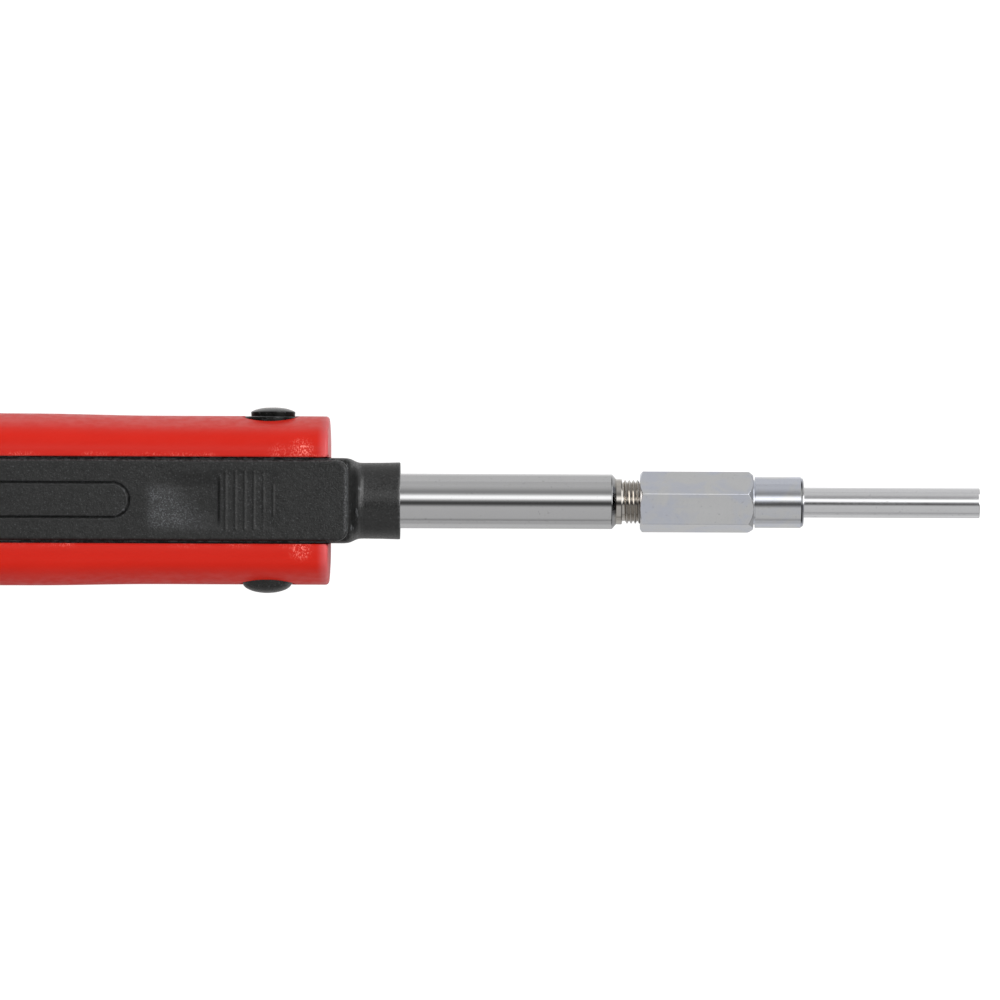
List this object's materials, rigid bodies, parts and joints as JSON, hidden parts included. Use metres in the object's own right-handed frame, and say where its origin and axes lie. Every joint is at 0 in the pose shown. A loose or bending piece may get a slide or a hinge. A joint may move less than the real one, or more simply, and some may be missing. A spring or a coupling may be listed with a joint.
{
  "type": "desoldering pump",
  "caption": "Pocket desoldering pump: red two-shell handle with black thumb slide and side release buttons, vacuum cylinder inside, steel stem, hexagonal clamp nut and slim tube nozzle.",
  "frame": {"origin": "middle of the tool's bounding box on the plane of its flat back", "axes": "+X along the tool towards the nozzle, +Y to the left of the tool seen from behind with the thumb slide up, +Z out of the thumb slide's face"},
  "size_m": [0.1766, 0.0204, 0.0176],
  "materials": {
    "red_plastic": "semi-gloss moulded",
    "black_plastic": "fine moulded grain",
    "polished_steel": "polished",
    "satin_steel": "satin",
    "spring_steel": "drawn wire and zinc plate",
    "aluminium": "honed",
    "brass": "turned",
    "white_nylon": "natural",
    "black_rubber": "matt"
  },
  "bodies": {
    "tool": {"handle_shell_left": "red_plastic", "handle_shell_right": "red_plastic", "front_housing": "black_plastic", "end_cap": "black_plastic", "stem_tube": "polished_steel", "stem_clip": "spring_steel", "stem_seal": "black_rubber", "cylinder_tube": "aluminium", "cylinder_head": "brass", "head_seal": "black_rubber", "rod_bush": "white_nylon", "bumper_ring": "black_rubber", "latch_leaf": "spring_steel", "shell_screw_front": "spring_steel", "shell_screw_middle": "spring_steel", "shell_screw_rear": "spring_steel"},
    "carriage": {"thumb_slide": "black_plastic", "crosshead": "white_nylon", "slide_screw": "spring_steel", "rod_pin": "polished_steel", "piston_rod": "polished_steel", "piston": "white_nylon", "piston_nut": "brass", "piston_seal": "black_rubber", "cleaning_rod": "polished_steel", "main_spring": "spring_steel"},
    "left_button_group": {"button_left": "black_plastic", "button_spring_left": "spring_steel"},
    "right_button_group": {"button_right": "black_plastic", "button_spring_right": "spring_steel"},
    "nozzle_group": {"nozzle_tube": "polished_steel", "gland_ring": "white_nylon"},
    "nut_group": {"clamp_nut": "satin_steel"}
  },
  "joints": [
    {"name": "slide_travel", "type": "slide", "parent": "tool", "child": "carriage", "axis": [1, 0, 0], "range_m": [-0.0278, 0], "deforming": ["main_spring", "latch_leaf"]},
    {"name": "button_left_press", "type": "slide", "parent": "tool", "child": "left_button_group", "axis": [0, -1, 0], "range_m": [0, 0.0011], "deforming": ["button_spring_left"]},
    {"name": "button_right_press", "type": "slide", "parent": "tool", "child": "right_button_group", "axis": [0, 1, 0], "range_m": [0, 0.0011], "deforming": ["button_spring_right"]},
    {"name": "nozzle_advance", "type": "slide", "parent": "tool", "child": "nozzle_group", "axis": [1, 0, 0], "range_m": [0, 0.00135]},
    {"name": "nut_turn", "type": "hinge", "parent": "nozzle_group", "child": "nut_group", "pos_m": [0.05117, 0, 0.0081], "axis": [1, 0, 0], "range_deg": [0, 1080]}
  ],
  "couplings": [
    {"joint": "nut_turn", "follows": "nozzle_advance", "rad_per_m": 13963}
  ]
}
